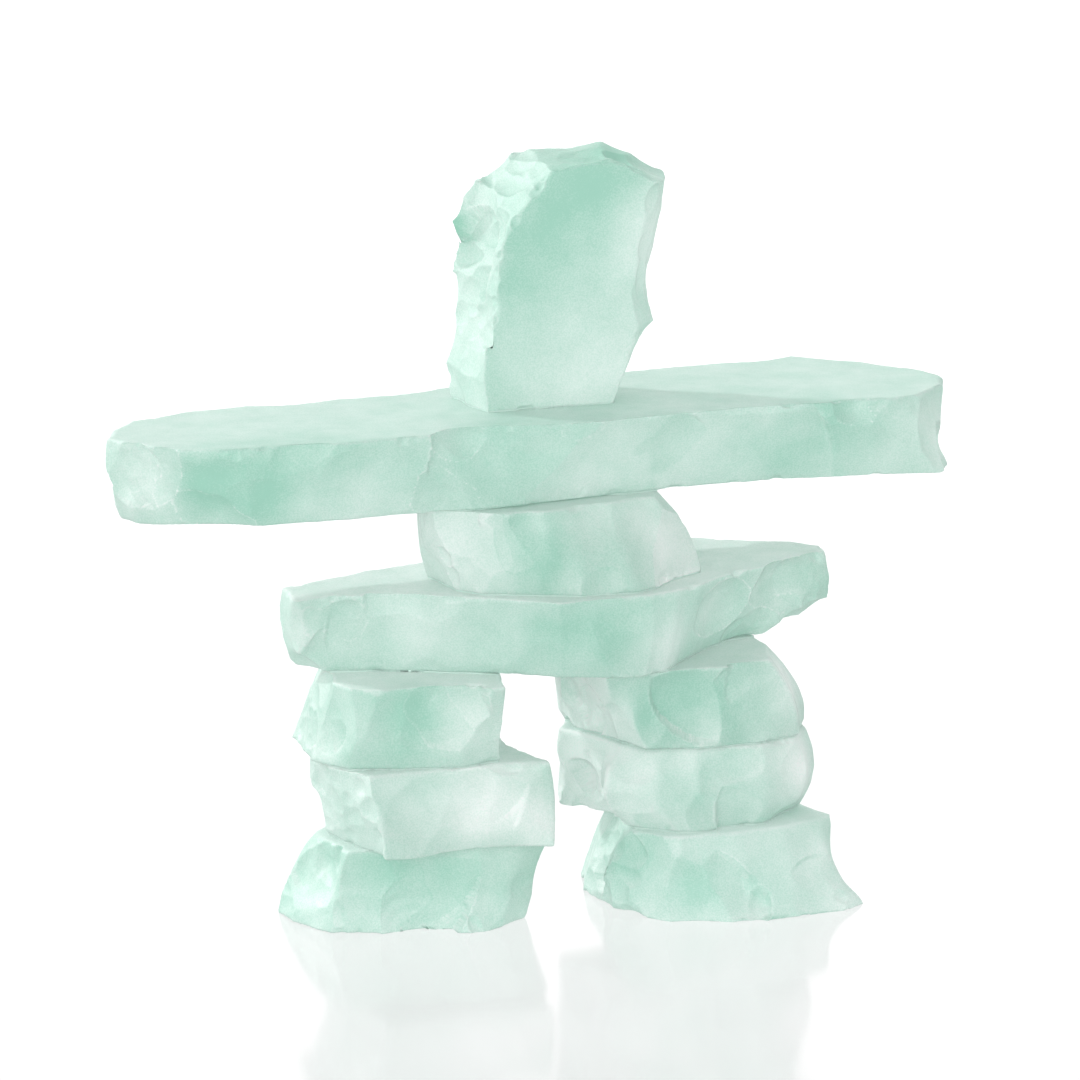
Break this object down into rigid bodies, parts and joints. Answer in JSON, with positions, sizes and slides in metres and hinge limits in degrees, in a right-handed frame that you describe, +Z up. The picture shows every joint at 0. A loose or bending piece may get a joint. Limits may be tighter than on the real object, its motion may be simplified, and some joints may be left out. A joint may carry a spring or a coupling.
{
  "type": "inukshuk sculpture of frosted glass",
  "caption": "Standing figure of chipped frosted glass blocks bonded one on another, with legs, hips, chest, wide outstretched arms and an upright head.",
  "frame": {"origin": "on the surface that the feet stand on, under the middle of the figure's whole width and depth", "axes": "+X along the arms to the right as seen from the front, -Y out of the front, +Z up"},
  "size_m": [0.2012, 0.0749, 0.1705],
  "materials": {
    "frosted_glass": "etched, frosted, translucent sea green"
  },
  "bodies": {
    "root": {"left_foot": "frosted_glass", "left_shin": "frosted_glass", "left_thigh": "frosted_glass", "right_foot": "frosted_glass", "right_shin": "frosted_glass", "right_thigh": "frosted_glass", "hips": "frosted_glass", "chest": "frosted_glass", "arms": "frosted_glass", "head": "frosted_glass"}
  },
  "joints": []
}
